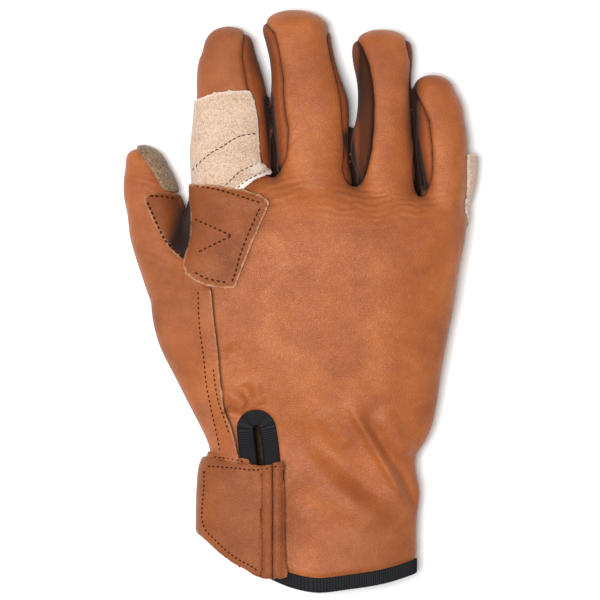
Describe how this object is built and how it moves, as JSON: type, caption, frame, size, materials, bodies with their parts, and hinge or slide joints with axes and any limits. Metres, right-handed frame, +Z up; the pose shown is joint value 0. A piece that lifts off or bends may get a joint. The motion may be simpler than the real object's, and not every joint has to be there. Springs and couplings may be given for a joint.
{
  "type": "climbing glove",
  "caption": "Right-hand leather climbing glove with suede reinforcement, a web patch, a bound wrist vent with a closure tab and a taped hem.",
  "frame": {"origin": "under the middle of the glove, on the surface that it lies on palm down", "axes": "+Y from the cuff to the fingertips, +X towards the little finger, +Z up out of the back of the hand"},
  "size_m": [0.152, 0.2498, 0.036],
  "materials": {
    "leather": "smooth full grain, satin",
    "gusset_leather": "smooth full grain, satin",
    "patch_leather": "smooth full grain, satin",
    "suede": "napped suede, matt",
    "tape": "ribbed grosgrain, matt"
  },
  "bodies": {
    "root": {"back_panel": "leather", "palm_panel": "leather", "thumb_panel": "leather", "fourchette_index_middle": "gusset_leather", "fourchette_middle_ring": "gusset_leather", "fourchette_ring_little": "gusset_leather", "index_suede": "suede", "palm_suede": "suede", "thumb_suede": "suede", "thumb_patch": "patch_leather", "web_patch": "patch_leather", "closure_underlay": "gusset_leather", "closure_tab": "patch_leather", "vent_binding": "tape", "hem_binding": "tape"}
  },
  "joints": []
}
